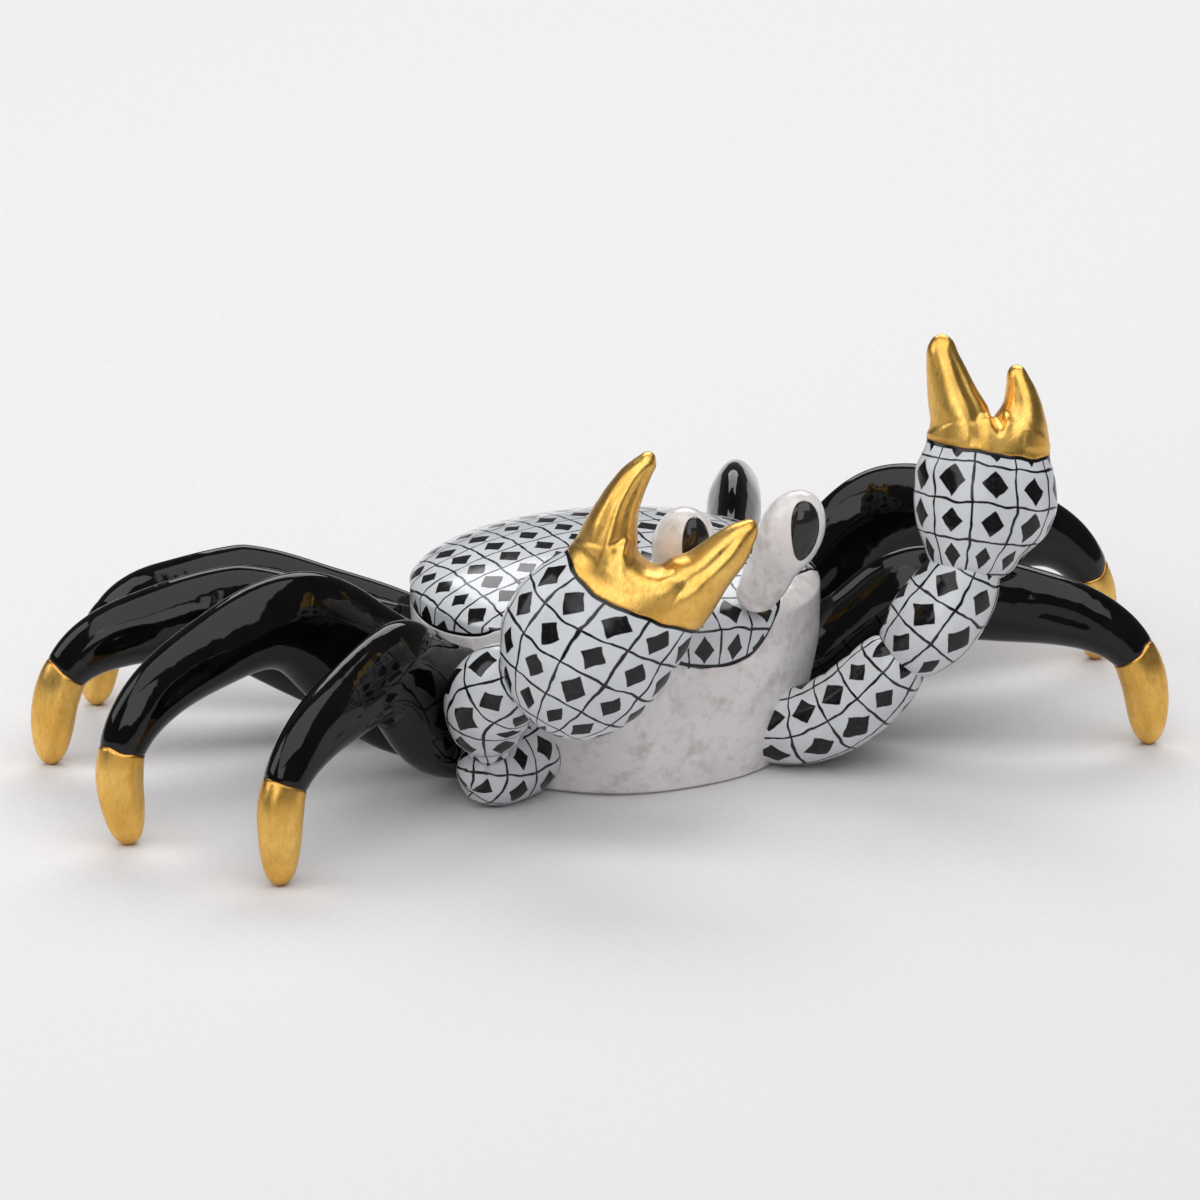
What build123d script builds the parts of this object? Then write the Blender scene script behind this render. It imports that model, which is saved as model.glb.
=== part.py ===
"""Porcelain crab figurine, built up from the pieces that are luted together before firing.

The crab faces -Y and +X is its own left. The origin is on the flat of the underside that it rests on,
under the middle of the carapace, and +Z is up. All lengths are in millimetres.
"""

import os
from math import cos, radians, sin

from build123d import *

# Hollow body
body_half_width = 21.3  # half the rim, side to side
body_front = 21.0  # origin to the front of the rim
body_back = 19.5  # origin to the back of the rim
rim_height = 17.2  # where the carapace meets the underbody, at the sides
crown_rise = 4.9  # height of the dome above the rim
foot_half_width = 17.6  # the flat that the figurine rests on
foot_front = 18.6
foot_back = 15.0
wall = 2.6  # thickness of the casting
vent_radius = 1.6  # firing vent in the underside
vent_behind = 7.0  # distance of the vent behind the origin

# The tongue of the carapace that hangs down between the eyes
brow_drop = 3.7  # how far it hangs below the rim
brow_half_width = 12.6
brow_offset = 1.0  # the tongue sits a little to the crab's left
brow_depth = 14.0  # how far behind the front of the rim the tongue is parted from the underbody

# Walking legs, set low on the sides of the body
leg_reach = 40.0  # root to toe tip of the longest leg, seen from above
leg_crest = 25.0  # highest point of the tallest leg, over its ridge
leg_half_width = 3.1
leg_half_height = 4.2
toe_length = 10.0  # gilded toe, from the floor up to the gilding line
toe_radius = 2.35

# Claws: the palm's sizes are those of the raised one, and the folded one is larger all over
palm_length = 12.3
palm_half_width = 7.4
palm_half_depth = 4.8
finger_length = 11.1
folded_length_share = 1.08
folded_width_share = 1.18
arm_radius = 4.1
wrist_radius = 4.4

# Eyes on their stalks
stalk_foot_radius = 2.9
stalk_neck_radius = 2.3
eye_radius = 3.35
eye_height = 16.2  # foot of the stalk to the top of the eyeball
eye_spacing = 8.0  # between the feet of the two stalks
eye_offset = 2.5  # the pair sits a little to the crab's left
eye_setback = 2.7  # feet of the stalks behind the front of the rim
eye_spread = 10.0  # degrees that each stalk leans outward
eye_lean = 25.0  # degrees that both lean forward
pupil_half_width = 1.5
pupil_half_height = 2.8
pupil_rise = 0.35  # how far the pupil stands out of the eyeball
pupil_tilt = 31.0  # degrees that the pupils look upward
pupil_turn = 6.0  # degrees that they look outward

overrun = 60.0  # cutting tools reach this far past what they cut

# Half of the body's outline from above, front to back, as shares of its half width and its depth
outline_shares = (
    (0.0, -1.0),
    (0.45, -0.92),
    (0.77, -0.68),
    (0.94, -0.36),
    (1.0, 0.02),
    (0.88, 0.50),
    (0.50, 0.88),
    (0.0, 1.0),
)
# The side below the rim: height as a share of the rim's, and how far from foot to rim it has spread
side_shares = ((0.0, 0.0), (0.18, 0.34), (0.48, 0.78), (0.80, 1.0), (1.0, 1.0))
# The dome above the rim: height as a share of the crown's rise, and size as a share of the rim's
dome_shares = ((0.0, 1.0), (0.28, 0.925), (0.56, 0.76), (0.79, 0.55), (0.94, 0.31), (1.0, 0.08))
# The tongue's edge, as shares of its half width and of its drop
brow_shares = ((-1.0, 0.0), (-0.62, -0.72), (0.0, -1.0), (0.62, -0.72), (1.0, 0.0))

# A leg's section, from ridge to underside, as shares of its half width and half height
leg_section_shares = ((0.0, 1.0), (0.58, 0.70), (0.97, 0.06), (0.72, -0.66), (0.0, -1.0))
# A leg's centre line up to its crest: distance as a share of the crest's, height as a share of its rise
# from the gilding line to the crest
leg_rise_shares = ((-0.45, -0.50), (0.10, 0.28), (0.52, 0.82), (1.0, 1.0))
# The centre line from the crest on: distance as a share of what is left to the gilding line, height as before
leg_fall_shares = ((0.45, 0.81), (0.81, 0.42), (1.0, 0.0))
# Thickness along the black part of a leg: share of the way, of its half width, of its half height
leg_girth_shares = (
    (0.0, 0.90, 0.86),
    (0.18, 0.92, 0.90),
    (0.36, 0.95, 0.94),
    (0.54, 1.0, 1.0),
    (0.72, 1.0, 1.0),
    (0.86, 0.92, 0.86),
)
# Thickness along a toe: height above the floor, and radius, as shares of the toe's
toe_girth_shares = ((1.0, 1.0), (0.80, 1.05), (0.50, 0.98), (0.22, 0.78), (0.07, 0.56), (0.0, 0.34))
# Each leg: place of its root on the body, direction in degrees, then as shares its reach, the height of
# its crest, how far along it the crest is, and how far the gilding line is drawn in from the tip
leg_shares = {
    "leg_right_1": (-1.02, -0.42, -148.6, 0.78, 0.85, 0.36, 0.35),
    "leg_right_2": (-0.94, -0.09, -170.2, 0.95, 0.98, 0.47, -0.3),
    "leg_right_3": (-0.84, 0.35, 166.1, 1.0, 0.81, 0.47, 0.85),
    "leg_right_4": (-0.73, 0.72, 150.4, 0.88, 0.73, 0.50, 0.6),
    "leg_left_1": (0.865, -0.595, -27.5, 0.85, 0.86, 0.28, 0.85),
    "leg_left_2": (0.94, -0.02, -3.5, 0.94, 1.0, 0.42, 0.5),
    "leg_left_3": (0.88, 0.27, 13.0, 0.95, 0.77, 0.45, 0.6),
    "leg_left_4": (0.635, 0.58, 46.0, 0.84, 0.79, 0.36, 0.6),
}

# Arms: centre lines as shares of the body's half width, front and rim height
folded_arm_shares = ((-0.62, -0.50, 0.28), (-0.90, -0.64, 0.22), (-1.08, -0.72, 0.26))
folded_wrist_shares = ((-1.02, -0.77, 0.42), (-1.05, -0.87, 0.76), (-0.96, -1.10, 0.98))
raised_arm_shares = ((0.36, -0.60, 0.24), (0.62, -0.88, 0.27), (0.84, -1.04, 0.48), (1.01, -1.16, 0.80))
raised_wrist_shares = ((0.97, -1.14, 0.66), (1.18, -1.23, 1.0), (1.32, -1.25, 1.32))
# Thickness along an arm or wrist: share of the way, and of its radius
arm_girth_shares = ((0.0, 0.86), (0.35, 1.04), (0.65, 1.0), (0.88, 0.86), (1.0, 0.50))
wrist_girth_shares = ((0.0, 0.55), (0.16, 0.88), (0.45, 1.06), (0.75, 0.98), (1.0, 0.70))

# Claws: the middle of the gilding line, then the directions along the claw and across it
folded_place_shares = (-0.55, -1.38, 1.523)
folded_along_shares = (0.529, -0.148, 0.837)
folded_across_shares = (0.675, -0.524, -0.518)
raised_place_shares = (1.42, -1.17, 1.948)
raised_along_shares = (0.19, 0.14, 0.972)
raised_across_shares = (0.93, -0.33, -0.134)
# A palm's sections: share of its length below the gilding line, offset, half width, half depth
folded_palm_shares = (
    (1.22, 0.0, 0.16, 0.14),
    (1.15, -0.04, 0.42, 0.40),
    (1.0, -0.08, 0.72, 0.70),
    (0.76, -0.11, 0.94, 0.92),
    (0.48, -0.12, 1.0, 1.0),
    (0.22, -0.08, 0.94, 0.94),
    (0.0, -0.02, 0.84, 0.80),
)
raised_palm_shares = (
    (1.04, -0.06, 0.56, 0.72),
    (0.88, -0.05, 0.66, 0.86),
    (0.62, 0.0, 0.91, 1.0),
    (0.36, 0.01, 1.0, 1.0),
    (0.14, -0.01, 0.96, 0.92),
    (0.0, 0.0, 0.86, 0.80),
)
# A finger's sections: height as a share of its length, offset, half width, half depth
folded_finger_shares = (
    (-0.12, 0.40, 0.42, 0.66),
    (0.14, 0.46, 0.40, 0.62),
    (0.30, 0.53, 0.355, 0.54),
    (0.47, 0.61, 0.28, 0.43),
    (0.64, 0.655, 0.22, 0.34),
    (0.80, 0.68, 0.165, 0.26),
    (0.94, 0.68, 0.09, 0.15),
    (1.0, 0.68, 0.03, 0.06),
)
raised_outer_finger_shares = (
    (-0.12, 0.42, 0.42, 0.66),
    (0.14, 0.44, 0.43, 0.62),
    (0.32, 0.47, 0.43, 0.54),
    (0.54, 0.61, 0.34, 0.42),
    (0.76, 0.75, 0.24, 0.30),
    (0.91, 0.82, 0.15, 0.19),
    (1.0, 0.85, 0.04, 0.06),
)
raised_inner_finger_shares = (
    (-0.12, 0.42, 0.42, 0.62),
    (0.14, 0.42, 0.38, 0.58),
    (0.31, 0.395, 0.34, 0.48),
    (0.52, 0.36, 0.23, 0.34),
    (0.70, 0.30, 0.15, 0.24),
    (0.78, 0.26, 0.09, 0.14),
    (0.82, 0.24, 0.03, 0.06),
)
# The web between the fingers: height as a share of the finger's length, half width, half depth
web_shares = ((0.0, 0.84, 0.80), (0.12, 0.74, 0.68), (0.24, 0.50, 0.50), (0.31, 0.22, 0.26))

# Heights on an eye, as shares of the whole
eye_swell_share = 0.08  # where the foot of the stalk is thickest
eye_neck_share = 0.26
eye_widest_share = 0.65
eye_foot_share = 0.6  # the rounded underside of the stalk's foot, as a share of its radius
ball_steps = 3  # points along a quarter of the eyeball's profile


def on_body(shares):
    """Place given as shares of the body's half width, its front and the height of its rim."""
    x_share, y_share, z_share = shares
    return (x_share * body_half_width, y_share * body_front, z_share * rim_height)


def body_outline(half_width, front, back):
    """Points round the body at one level."""
    half = [(x * half_width, y * (back if y > 0 else front)) for x, y in outline_shares]
    return half + [(-x, y) for x, y in reversed(half[1:-1])]


def body_form(inset):
    """The body, or its hollow where the wall is taken off all round."""
    width = body_half_width - inset
    front = body_front - inset
    back = body_back - inset
    sides = []
    for height, spread in side_shares:
        sides.append(
            (
                inset + (rim_height - inset) * height,
                foot_half_width - inset + (body_half_width - foot_half_width) * spread,
                foot_front - inset + (body_front - foot_front) * spread,
                foot_back - inset + (body_back - foot_back) * spread,
            )
        )
    rise = crown_rise - inset
    dome = []
    for height, size in dome_shares:
        dome.append((rim_height + height * rise, width * size, front * size, back * size))
    with BuildPart() as form:
        for z, *outline in sides:
            with BuildSketch(Plane.XY.offset(z)):
                with BuildLine():
                    Spline(*body_outline(*outline), periodic=True)
                make_face()
        loft()
        with BuildPart(mode=Mode.PRIVATE) as crown:
            for z, *outline in dome:
                with BuildSketch(Plane.XY.offset(z)):
                    with BuildLine():
                        Spline(*body_outline(*outline), periodic=True)
                    make_face()
            loft()
        add(crown.part)
    return form.part


def closed_section(half_shares, half_width, half_height):
    """Points round a section that is the same on both sides."""
    half = [(x * half_width, y * half_height) for x, y in half_shares]
    return half + [(-x, y) for x, y in reversed(half[1:-1])]


def limb_form(places, girths, radius):
    """A round limb that follows a smooth line through its places."""
    with BuildPart() as form:
        with BuildLine(mode=Mode.PRIVATE):
            path = Spline(*places)
        for along, girth in girths:
            with BuildSketch(Plane(path @ along, x_dir=(0, 0, 1), z_dir=path % along)):
                Circle(girth * radius)
        loft()
    return form.part


def leg_places(name):
    """Centre line of a leg, down to the gilding line, then its toe's tip and its direction outward."""
    x_share, y_share, splay, reach_share, crest_share, crest_place_share, drawn_share = leg_shares[name]
    root = Vector(x_share * body_half_width, y_share * (body_back if y_share > 0 else body_front), 0)
    outward = Vector(cos(radians(splay)), sin(radians(splay)), 0)
    reach = reach_share * leg_reach
    rise = crest_share * leg_crest - leg_half_height - toe_length
    crest_place = crest_place_share * reach
    left = reach - drawn_share * toe_radius - crest_place
    profile = [(d * crest_place, h * rise) for d, h in leg_rise_shares]
    profile += [(crest_place + d * left, h * rise) for d, h in leg_fall_shares]
    places = [root + outward * d + Vector(0, 0, toe_length + h) for d, h in profile]
    return places, root + outward * reach, outward


def leg_form(name):
    """The black part of a leg, an arch that rises beside the body and ends at the gilding line."""
    places, tip, outward = leg_places(name)
    across = Vector(-outward.Y, outward.X, 0)
    with BuildPart() as form:
        with BuildLine(mode=Mode.PRIVATE):
            path = Spline(*places)
        for along, wide, high in leg_girth_shares:
            with BuildSketch(Plane(path @ along, x_dir=across, z_dir=path % along)):
                points = closed_section(leg_section_shares, wide * leg_half_width, high * leg_half_height)
                with BuildLine():
                    Spline(*points, periodic=True)
                make_face()
        with BuildSketch(Plane(places[-1], x_dir=across, z_dir=tip - places[-1])):
            with BuildLine():
                Spline(*closed_section(leg_section_shares, toe_radius, toe_radius), periodic=True)
            make_face()
        loft()
    return form.part


def toe_form(name):
    """The gilded toe under a leg's gilding line, rounded to a small flat on the floor."""
    places, tip, outward = leg_places(name)
    across = Vector(-outward.Y, outward.X, 0)
    downward = tip - places[-1]
    with BuildPart() as form:
        for height, size in toe_girth_shares:
            with BuildSketch(Plane(tip - downward * height, x_dir=across, z_dir=downward)):
                points = closed_section(leg_section_shares, size * toe_radius, size * toe_radius)
                with BuildLine():
                    Spline(*points, periodic=True)
                make_face()
        loft()
    return form.part


def claw_plane(place, along, across):
    """Plane of a claw's gilding line, whose Z runs out along the claw."""
    return Plane(on_body(place), x_dir=across, z_dir=along)


def palm_form(plane, sections, length, half_width, half_depth):
    """The palm, from its heel up to the gilding line."""
    with BuildPart() as form:
        for down, offset, wide, deep in sections:
            with BuildSketch(plane.offset(-down * length)):
                with Locations((offset * half_width, 0)):
                    Ellipse(wide * half_width, deep * half_depth)
        loft()
    return form.part


def fingers_form(plane, left_sections, right_sections, length, half_width, half_depth):
    """Both fingers and the web between them, standing on the gilding line."""
    with BuildPart() as form:
        for height, wide, deep in web_shares:
            with BuildSketch(plane.offset(height * length)):
                Ellipse(wide * half_width, deep * half_depth)
        loft()
        for hand, sections in ((-1, left_sections), (1, right_sections)):
            with BuildPart(mode=Mode.PRIVATE) as finger:
                for height, offset, wide, deep in sections:
                    with BuildSketch(plane.offset(height * length)):
                        with Locations((hand * offset * half_width, 0)):
                            Ellipse(wide * half_width, deep * half_depth)
                loft()
            add(finger.part)
        split(bisect_by=plane, keep=Keep.TOP)
    return form.part


def quarter_ellipse(across, start, top):
    """Points from the side of a ball, at the start's height, over to its top."""
    angles = [radians(90 * step / ball_steps) for step in range(ball_steps + 1)]
    return [(across * cos(angle), start + (top - start) * sin(angle)) for angle in angles]


def eye_form(hand):
    """Stalk and eyeball, turned about the stalk's own line."""
    widest = eye_widest_share * eye_height
    foot = eye_foot_share * stalk_foot_radius
    with BuildPart() as form:
        with BuildSketch(eye_plane(hand)):
            with BuildLine():
                stalk = Spline(
                    (foot, -foot),
                    (stalk_foot_radius, eye_swell_share * eye_height),
                    (stalk_neck_radius, eye_neck_share * eye_height),
                    (eye_radius, widest),
                    tangents=((1, 0), (0, 1)),
                )
                ball = Spline(*quarter_ellipse(eye_radius, widest, eye_height), tangents=((0, 1), (-1, 0)))
                Polyline(ball @ 1, (0, -foot), stalk @ 0)
            make_face()
        revolve(axis=eye_axis(hand))
    return form.part


def eyeball_form(hand, rise):
    """The eyeball by itself, standing out all round by the rise."""
    widest = eye_widest_share * eye_height
    top = eye_height + rise
    bottom = 2 * widest - top
    radius = eye_radius + rise
    with BuildPart() as form:
        with BuildSketch(eye_plane(hand)):
            with BuildLine():
                upper = Spline(*quarter_ellipse(radius, widest, top), tangents=((0, 1), (-1, 0)))
                lower = Spline(*quarter_ellipse(radius, widest, bottom), tangents=((0, -1), (-1, 0)))
                Line(upper @ 1, lower @ 1)
            make_face()
        revolve(axis=eye_axis(hand))
    return form.part


def eye_direction(hand):
    spread = sin(radians(eye_spread))
    lean = sin(radians(eye_lean))
    return Vector(hand * spread, -lean, (1 - spread**2 - lean**2) ** 0.5)


def eye_foot(hand):
    return Vector(eye_offset + hand * eye_spacing / 2, -body_front + eye_setback, rim_height)


def eye_axis(hand):
    return Axis(eye_foot(hand), eye_direction(hand))


def eye_plane(hand):
    """Plane whose Y runs up the stalk and whose X runs across it."""
    upward = eye_direction(hand)
    across = upward.cross(Vector(0, 1, 0)).normalized()
    return Plane(eye_foot(hand), x_dir=across, z_dir=across.cross(upward))


os.makedirs("parts", exist_ok=True)

# The outer skin of the whole body trims all that is luted to it
body_skin = body_form(0)
with BuildPart() as body_shell:
    add(body_skin)
    add(body_form(wall), mode=Mode.SUBTRACT)

# Everything above the rim, and the tongue in front
with BuildPart() as carapace_space:
    with BuildSketch(Plane.XY.offset(rim_height)):
        Rectangle(overrun * 2, overrun * 2)
    extrude(amount=overrun)
    with BuildSketch(Plane.XZ.offset(body_front - brow_depth)):
        tongue = [(brow_offset + x * brow_half_width, rim_height + z * brow_drop) for x, z in brow_shares]
        above = rim_height + wall
        with BuildLine():
            Spline(*tongue)
            Polyline(tongue[-1], (tongue[-1][0], above), (tongue[0][0], above), tongue[0])
        make_face()
    extrude(amount=overrun)

with BuildPart() as carapace:
    add(body_shell.part)
    add(carapace_space.part, mode=Mode.INTERSECT)
carapace.part.label = "carapace"
export_step(carapace.part, "parts/carapace.step")

with BuildPart() as underbody:
    add(body_shell.part)
    add(carapace_space.part, mode=Mode.SUBTRACT)
    with Locations((0, vent_behind, 0)):
        Hole(vent_radius)
underbody.part.label = "underbody"
export_step(underbody.part, "parts/underbody.step")

# Eyes, with the pupils laid on them
for side, hand in (("left", 1), ("right", -1)):
    with BuildPart() as eye:
        add(eye_form(hand))
        add(body_skin, mode=Mode.SUBTRACT)
    eye.part.label = "eye_" + side
    export_step(eye.part, "parts/eye_" + side + ".step")

    ball = eye_foot(hand) + eye_direction(hand) * (eye_widest_share * eye_height)
    tilt = radians(pupil_tilt)
    turn = radians(pupil_turn)
    gaze = Vector(hand * cos(tilt) * sin(turn), -cos(tilt) * cos(turn), sin(tilt))
    with BuildPart() as pupil:
        with BuildSketch(Plane(ball, x_dir=(1, 0, 0), z_dir=gaze)):
            Ellipse(pupil_half_width, pupil_half_height)
        extrude(amount=eye_height)
        add(eyeball_form(hand, pupil_rise), mode=Mode.INTERSECT)
        add(eyeball_form(hand, 0), mode=Mode.SUBTRACT)
        add(eye_form(hand), mode=Mode.SUBTRACT)
    pupil.part.label = "pupil_" + side
    export_step(pupil.part, "parts/pupil_" + side + ".step")

# Arms: the right one is folded in front of the face, the left one is raised
arms = {
    "right": (folded_arm_shares, folded_wrist_shares),
    "left": (raised_arm_shares, raised_wrist_shares),
}
arm_forms = []
for side, (arm_shares, wrist_shares) in arms.items():
    lower = limb_form([on_body(place) for place in arm_shares], arm_girth_shares, arm_radius)
    wrist = limb_form([on_body(place) for place in wrist_shares], wrist_girth_shares, wrist_radius)
    arm_forms += [lower, wrist]
    with BuildPart() as arm_lower:
        add(lower)
        add(body_skin, mode=Mode.SUBTRACT)
        split(bisect_by=Plane.XY, keep=Keep.TOP)
    arm_lower.part.label = "arm_lower_" + side
    export_step(arm_lower.part, "parts/arm_lower_" + side + ".step")

    with BuildPart() as arm_wrist:
        add(wrist)
        add(lower, mode=Mode.SUBTRACT)
        add(body_skin, mode=Mode.SUBTRACT)
    arm_wrist.part.label = "arm_wrist_" + side
    export_step(arm_wrist.part, "parts/arm_wrist_" + side + ".step")

# Claws: patterned palms with gilded fingers
claws = {
    "right": (
        claw_plane(folded_place_shares, folded_along_shares, folded_across_shares),
        folded_palm_shares,
        (folded_finger_shares, folded_finger_shares),
        folded_length_share,
        folded_width_share,
    ),
    "left": (
        claw_plane(raised_place_shares, raised_along_shares, raised_across_shares),
        raised_palm_shares,
        (raised_outer_finger_shares, raised_inner_finger_shares),
        1,
        1,
    ),
}
for side, (plane, palm_sections, finger_sections, longer, wider) in claws.items():
    half_width = wider * palm_half_width
    half_depth = wider * palm_half_depth
    with BuildPart() as claw_palm:
        add(palm_form(plane, palm_sections, longer * palm_length, half_width, half_depth))
        for limb in arm_forms:
            add(limb, mode=Mode.SUBTRACT)
    claw_palm.part.label = "claw_palm_" + side
    export_step(claw_palm.part, "parts/claw_palm_" + side + ".step")

    with BuildPart() as claw_fingers:
        add(fingers_form(plane, *finger_sections, longer * finger_length, half_width, half_depth))
    claw_fingers.part.label = "claw_fingers_" + side
    export_step(claw_fingers.part, "parts/claw_fingers_" + side + ".step")

# Eight legs, each with its gilded toe
luted = list(arm_forms)
for name in leg_shares:
    form = leg_form(name)
    with BuildPart() as leg:
        add(form)
        add(body_skin, mode=Mode.SUBTRACT)
        for limb in luted:
            add(limb, mode=Mode.SUBTRACT)
    luted.append(form)
    leg.part.label = name
    export_step(leg.part, "parts/" + name + ".step")

    toe_name = name.replace("leg", "toe")
    with BuildPart() as toe:
        add(toe_form(name))
    toe.part.label = toe_name
    export_step(toe.part, "parts/" + toe_name + ".step")
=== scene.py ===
"""Looks of the porcelain crab figurine: its modelled surfaces, glazes, painted net and gilding.

Lengths are in millimetres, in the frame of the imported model, and become metres when a mesh is made.
The crab faces -Y, and +X is its own left.
"""

from functools import partial
from math import cos, pi, radians, sin

import bpy
import numpy as np
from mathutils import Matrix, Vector


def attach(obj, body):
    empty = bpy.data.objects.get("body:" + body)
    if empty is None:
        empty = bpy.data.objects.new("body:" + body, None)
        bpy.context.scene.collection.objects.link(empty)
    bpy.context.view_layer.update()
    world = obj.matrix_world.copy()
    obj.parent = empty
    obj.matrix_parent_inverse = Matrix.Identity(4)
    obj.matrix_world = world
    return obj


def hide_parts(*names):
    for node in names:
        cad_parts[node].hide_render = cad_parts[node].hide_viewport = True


MM = 0.001
SEED = 7
GILDING_SEED = 50
CLAW_SEED = 3

# Camera, as the photograph was taken, in degrees and mm
camera_azimuth = -26
camera_elevation = 18.7
camera_distance = 545
camera_target = (0.69, 4.54, 12.96)
camera_lens = 155.3
sensor_width = 36

# Lamps: azimuth from the crab's front, elevation, distance, width, height and radiance
lamps = {
    "key": (-14, 66, 900, 1350, 1000, 1.68),
    "side": (-105, 34, 900, 560, 480, 2.15),
    "back": (150, 46, 1000, 900, 500, 3.65),
    "fill": (-30, 24, 950, 560, 360, 1.9),
}
world_strength = 0.11
floor_half_width = 3000.0
# Nothing that stands on the floor reaches below this
floor_clearance = 0.02
# Paint that has no edge near it counts as this far from one
far_from_edge = 9.0

# Body, as in the frame, but for a slightly wider foot
body_half_width = 21.3
body_front = 21.0
body_back = 19.5
rim_height = 17.2
crown_rise = 4.9
foot_half_width = 18.3
foot_front = 19.2
foot_back = 15.0
wall = 2.6
vent_radius = 1.6
vent_behind = 7.0
# The paint's border fades to the rim between these places from back to front
brow_back = 15
brow_front = 5
fold_depth = 0.55
folds_around = 9.0
fold_lean = 1.4
# Sizes of the carapace's underside, the inside of the bowl, and the foot where it lies flat and inside
inner_top_share = 0.88
inner_bowl_share = 0.87
flat_foot_share = 0.94
inner_foot_share = 0.84
# Height in mm and size of the rounding under the foot
foot_rounding = ((0.3, 0.985), (0.08, 0.965), (0, 0.94))
# How far down the paint reaches at places across the front: 1 is the rim, 2 the foot
brow_levels = (
    (-21.5, 1.13), (-19.5, 1.06), (-17, 0.88), (-13, 0.78), (-9.5, 0.8), (-6.5, 0.98), (-4.5, 1.1),
    (-1.5, 1.19), (2.2, 1.222), (5.2, 1.195), (7.2, 1.12), (9.2, 0.97), (12.1, 0.79), (16, 0.76),
    (18.5, 0.84), (20, 1.02), (21.5, 1.13),
)
outline_shares = (
    (0, -1), (0.45, -0.92), (0.77, -0.68), (0.94, -0.36), (1, 0.02), (0.88, 0.5), (0.5, 0.88), (0, 1),
)
side_shares = ((0, 0), (0.18, 0.34), (0.48, 0.78), (0.8, 1), (1, 1))
dome_shares = ((0, 1), (0.28, 0.925), (0.56, 0.76), (0.79, 0.55), (0.94, 0.31), (1, 0))

# Legs and toes
leg_reach = 40.0
leg_crest = 25.0
leg_half_width = 3.1
leg_half_height = 4.2
toe_length = 10.0
toe_radius = 2.35
# How far a toe bows outward and up between its gilding line and its tip
toe_bow_out = 0.55
toe_bow_up = 0.13
# Place along and height of a leg's line, inside and outside its crest
leg_rise_shares = ((-0.6, -0.62), (-0.2, -0.42), (0.22, -0.13), (0.62, 0.42), (1, 1))
leg_fall_shares = ((0.2, 1.06), (0.45, 0.92), (0.84, 0.5), (1, 0))
# Half width and half height from the buried root at 0 over the crest at 1 to the gilding line at 2
leg_girth_shares = (
    (0, 0.96, 1.6), (0.5, 1, 1.6), (0.8, 1.02, 1.45), (1, 1.02, 1.28), (1.2, 1, 1.07), (1.45, 1, 0.93),
    (1.72, 0.93, 0.78), (2, 0.76, 0.56),
)
leg_section_shares = (
    (0, 1), (0.34, 0.9), (0.66, 0.58), (0.95, 0.08), (0.9, -0.4), (0.56, -0.82), (0, -1),
)
toe_girth_shares = (
    (1, 1), (0.8, 1.03), (0.5, 0.97), (0.22, 0.78), (0.07, 0.5), (0.02, 0.29), (0, 0),
)
# Root across and back, splay in degrees, reach, height and place of the crest, and drawing in of the toe
leg_shares = {
    "leg_right_1": (-1.02, -0.42, -148.6, 0.78, 0.85, 0.36, 0.35),
    "leg_right_2": (-0.94, -0.09, -170.2, 0.95, 0.98, 0.47, -0.3),
    "leg_right_3": (-0.84, 0.35, 166.1, 1, 0.81, 0.52, 0.85),
    "leg_right_4": (-0.73, 0.72, 150.4, 0.88, 0.73, 0.56, 1),
    "leg_left_1": (0.865, -0.595, -27.5, 0.85, 0.86, 0.28, 0.85),
    "leg_left_2": (0.93, 0.14, -8.3, 0.95, 0.975, 0.33, 0.5),
    "leg_left_3": (0.88, 0.37, 10, 0.95, 0.77, 0.45, 0.6),
    "leg_left_4": (0.86, 0.47, 60.5, 0.785, 0.8, 0.43, 0.6),
}
leg_unevenness_share = 0.014
# Depth in mm, place and spread of the hollows along a leg's flanks, and their place on its section
leg_hollows = ((0.4, 1.62, 0.24), (0.55, 0.62, 0.3))
flank_share = 0.05
flank_spread_share = 0.3
# How much fuller a leg's underside is below its crest, as a share of its half height
leg_fullness = {"leg_left_1": 0.14, "leg_left_2": 0.95}
fullest_share = 1.32
fullness_spread_share = 0.42
fullness_fade_share = 0.3
# How far a leg's buried root hangs below the others', in mm
root_drop = {"leg_right_3": 1.6, "leg_right_4": 3.4}
longest_drop_share = 1.2
drop_power = 1.4
# How much lower than the others' a leg's gold starts, as a share of its toe
gilding_drop = {"leg_right_4": 0.15}
gilding_wave_share = 0.022

# Arms
arm_radius = 4.1
wrist_radius = 4.4
cells_around_arm = 6
arm_shares = {
    "right": ((-0.62, -0.5, 0.28), (-0.9, -0.64, 0.22), (-1.08, -0.72, 0.26)),
    "left": ((0.36, -0.6, 0.24), (0.62, -0.88, 0.27), (0.84, -1.04, 0.48), (1.01, -1.16, 0.8)),
}
wrist_shares = {
    "right": ((-1.02, -0.77, 0.42), (-1.05, -0.87, 0.76), (-0.96, -1.1, 0.98)),
    "left": ((0.96, -1.13, 0.7), (1.17, -1.22, 1.02), (1.32, -1.25, 1.32)),
}
arm_girth_shares = {
    "right": ((0, 0.86), (0.35, 1.04), (0.65, 1), (0.88, 0.86), (1, 0.5)),
    "left": ((0, 0.86), (0.35, 1), (0.6, 1.02), (0.8, 0.97), (0.93, 0.82), (1, 0.56)),
}
wrist_girth_shares = ((0, 0.55), (0.16, 0.88), (0.45, 1.06), (0.75, 0.98), (1, 0.7))

# Eyes
hands = {"left": 1, "right": -1}
eye_radius = 3.28
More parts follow.
